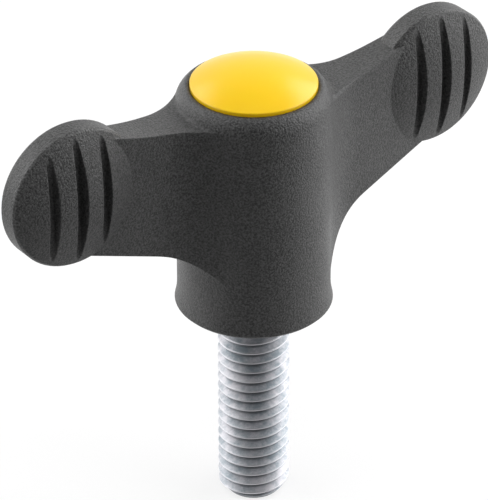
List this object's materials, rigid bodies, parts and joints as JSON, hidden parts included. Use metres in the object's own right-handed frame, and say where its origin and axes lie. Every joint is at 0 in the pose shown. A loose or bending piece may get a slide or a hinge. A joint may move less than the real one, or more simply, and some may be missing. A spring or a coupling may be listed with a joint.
{
  "type": "threaded wing knob",
  "caption": "Wing knob with a threaded stud for tightening by hand: a moulded hub with ribbed finger wings, a snap-in cover cap and a steel stud.",
  "frame": {"origin": "on the stud's axis, in the plane of the hub's underside, which seats on what the stud screws into", "axes": "+Z from the hub's underside up to the cover cap, along the stud's axis; +X along the wings; the stud points along -Z"},
  "size_m": [0.0618, 0.0174, 0.054],
  "materials": {
    "black_polyamide": "fine eroded texture, matt",
    "yellow_cap": "smooth satin",
    "zinc_plated_steel": "bright zinc plating"
  },
  "bodies": {
    "root": {"wing_body": "black_polyamide", "cover_cap": "yellow_cap", "threaded_stud": "zinc_plated_steel"}
  },
  "joints": []
}
